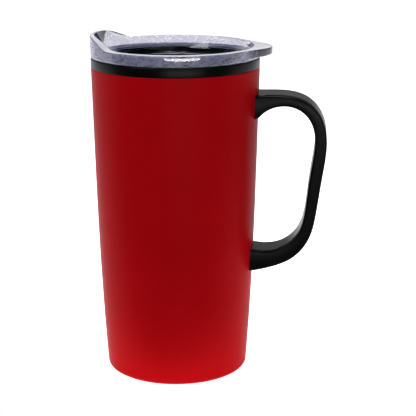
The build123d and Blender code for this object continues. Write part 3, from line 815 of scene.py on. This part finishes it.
def lit_acrylic():
    """White cast acrylic sheet, sanded matt and lit from below."""
    material, tree, place = new_material("cast_acrylic_white")
    fibre = add(tree, "ShaderNodeTexNoise", {"Scale": 1 / (2.0 * MM)}, {"Vector": place})
    tone = add(tree, "ShaderNodeValToRGB",
               {"stops": ((MIDDLE_LOW, colour("f4f4f4")), (MIDDLE_HIGH, colour("f8f8f8")))},
               {"Fac": fibre.outputs["Fac"]})
    shader = add(tree, "ShaderNodeBsdfPrincipled",
                 {"Roughness": 0.9, "Specular IOR Level": 0.0, "Emission Color": (1, 1, 1, 1),
                  "Emission Strength": 1.0}, {"Base Color": tone.outputs["Color"]})
    add(tree, "ShaderNodeOutputMaterial", links={"Surface": shader.outputs["BSDF"]})
    return material


def black_velvet():
    """Black velvet of a studio flag: a pile that gives back almost no light."""
    material, tree, place = new_material("black_velvet")
    pile = add(tree, "ShaderNodeTexNoise", {"Scale": 1 / (3.0 * MM)}, {"Vector": place})
    tone = add(tree, "ShaderNodeValToRGB",
               {"stops": ((MIDDLE_LOW, colour("060606")), (MIDDLE_HIGH, colour("0a0a0a")))},
               {"Fac": pile.outputs["Fac"]})
    shader = add(tree, "ShaderNodeBsdfPrincipled", {"Roughness": 1.0, "Specular IOR Level": 0.0},
                 {"Base Color": tone.outputs["Color"]})
    add(tree, "ShaderNodeOutputMaterial", links={"Surface": shader.outputs["BSDF"]})
    return material


# ------------------------------------------------------------------ putting it together

def wear(piece, material):
    """The piece has this material alone."""
    piece.data.materials.clear()
    piece.data.materials.append(material)


def mount(piece, material, body, node):
    """A new piece gets its material, rides a body and stands for its node."""
    wear(piece, material)
    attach(piece, body)
    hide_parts(node)


plastic = moulded_polypropylene()
silicone = moulded_silicone("moulded_silicone_black", "171717", "202020")
sheet_steel = stainless_steel("stamped_stainless_steel", 0.4)
screw_steel = stainless_steel("cold_headed_stainless_steel", 0.25)

mount(make_shell(), powder_coated_steel(), "mug", "outer_shell")
mount(make_liner(), plastic, "mug", "liner_cup")
mount(make_handle(), plastic, "mug", "handle")
mount(make_foot_pad(), pebbled_rubber(), "mug", "foot_pad")
mount(make_lid(), clear_san("clear_san_flow_marked_and_painted_light", True), "lid", "lid_body")
mount(make_lid_seal(), silicone, "lid", "lid_seal")
mount(make_slider(), clear_san("clear_san_polished", False), "slider", "lid_slider")

wear(nodes["slider_seal"], silicone)
wear(nodes["rim_seal"], moulded_silicone("moulded_silicone_grey", "4c4c4c", "5a5a5a"))
wear(nodes["base_spacer"], cell_foam())
for end in ("upper", "lower"):
    wear(nodes[end + "_backing_plate"], sheet_steel)
    wear(nodes[end + "_handle_screws"], screw_steel)


# ------------------------------------------------------------------ studio

# The camera's place is in metres, its turns are in degrees and its lens in millimetres
CAMERA_PLACE = (0.0683, -0.6231, 0.2513)
CAMERA_TILT = 14.87
CAMERA_TURN = 4.74
LENS = 106.83
# Sizes in metres of the studio's sheets, and their heights from the mug's foot in millimetres
FLOOR_SIZE = 14.0
FLOOR_DROP = 0.1
FLAG_SIZE = 8.0
FLAG_EDGE_Y = -0.06
FLAG_LIFT = 1
LIGHT_AIM_Z = 0.12
DARK_ROOM = (0.012, 0.014, 0.06, 1)
WHITE_WALL = (0.9, 0.9, 0.9, 1)


def make_floor():
    """The white table, just under the foot pad."""
    deselect()
    bpy.ops.mesh.primitive_plane_add(size=FLOOR_SIZE, location=(0, 0, -FLOOR_DROP * MM))
    floor = bpy.context.object
    floor.name = "studio_floor"
    floor.data.materials.append(lit_acrylic())


def make_flag():
    """A black cloth on the table in front of the mug, out of view, that keeps its front dark."""
    deselect()
    centre_y = FLAG_EDGE_Y - FLAG_SIZE / 2
    bpy.ops.mesh.primitive_plane_add(size=FLAG_SIZE, location=(0, centre_y, FLAG_LIFT * MM))
    flag = bpy.context.object
    flag.name = "dark_flag"
    flag.data.materials.append(black_velvet())
    flag.visible_camera = False


def make_light(name, place, width, height, watts):
    """A soft box aimed at the top of the mug, which the camera itself doesn't see."""
    data = bpy.data.lights.new(name, "AREA")
    data.shape = "RECTANGLE"
    data.size = width
    data.size_y = height
    data.energy = watts
    light = bpy.data.objects.new(name, data)
    bpy.context.scene.collection.objects.link(light)
    light.location = place
    aim = Vector((0, 0, LIGHT_AIM_Z)) - Vector(place)
    light.rotation_euler = aim.to_track_quat("-Z", "Y").to_euler()
    light.visible_camera = False


def make_world():
    """A dark blue room with a white wall behind and beside the mug, white near the table and higher up."""
    world = bpy.data.worlds.new("studio")
    world.use_nodes = True
    tree = world.node_tree
    place = add(tree, "ShaderNodeTexCoord")
    axes = add(tree, "ShaderNodeSeparateXYZ", links={"Vector": place.outputs["Generated"]})
    height = add(tree, "ShaderNodeValToRGB",
                 {"stops": ((0.02, FULL), (0.04, NONE), (0.15, NONE), (0.18, FULL),
                            (0.34, FULL), (0.40, NONE))},
                 {"Fac": axes.outputs["Z"]})
    behind = add(tree, "ShaderNodeMapRange", {"From Min": -0.3, "From Max": 0.15},
                 {"Value": axes.outputs["Y"]})
    share = add(tree, "ShaderNodeMath", {"operation": "MULTIPLY"},
                {0: height.outputs["Color"], 1: behind.outputs["Result"]})
    wall = add(tree, "ShaderNodeValToRGB",
               {"stops": ((0, DARK_ROOM), (1, WHITE_WALL))}, {"Fac": share.outputs["Value"]})
    tree.links.new(wall.outputs["Color"], tree.nodes["Background"].inputs["Color"])
    bpy.context.scene.world = world


def make_camera():
    """A long lens in front of the mug, above it and a little round to the handle's side."""
    data = bpy.data.cameras.new("camera")
    data.sensor_width = 36.0
    data.lens = LENS
    data.clip_start = 0.01
    camera = bpy.data.objects.new("camera", data)
    bpy.context.scene.collection.objects.link(camera)
    camera.location = CAMERA_PLACE
    camera.rotation_euler = (math.radians(90 - CAMERA_TILT), 0, math.radians(CAMERA_TURN))
    bpy.context.scene.camera = camera


make_floor()
make_flag()
make_world()
make_light("key", (-0.8, -0.9, 1.0), 0.8, 0.8, 8)
make_light("fill", (0.9, -0.9, 0.8), 0.8, 0.8, 2)
make_light("overhead", (0, 0.1, 1.1), 0.5, 0.5, 9)
make_light("low_strip", (0.223, -0.837, 0.041), 0.741, 0.05, 2.2)
make_camera()
bpy.context.scene.view_settings.view_transform = "Standard"
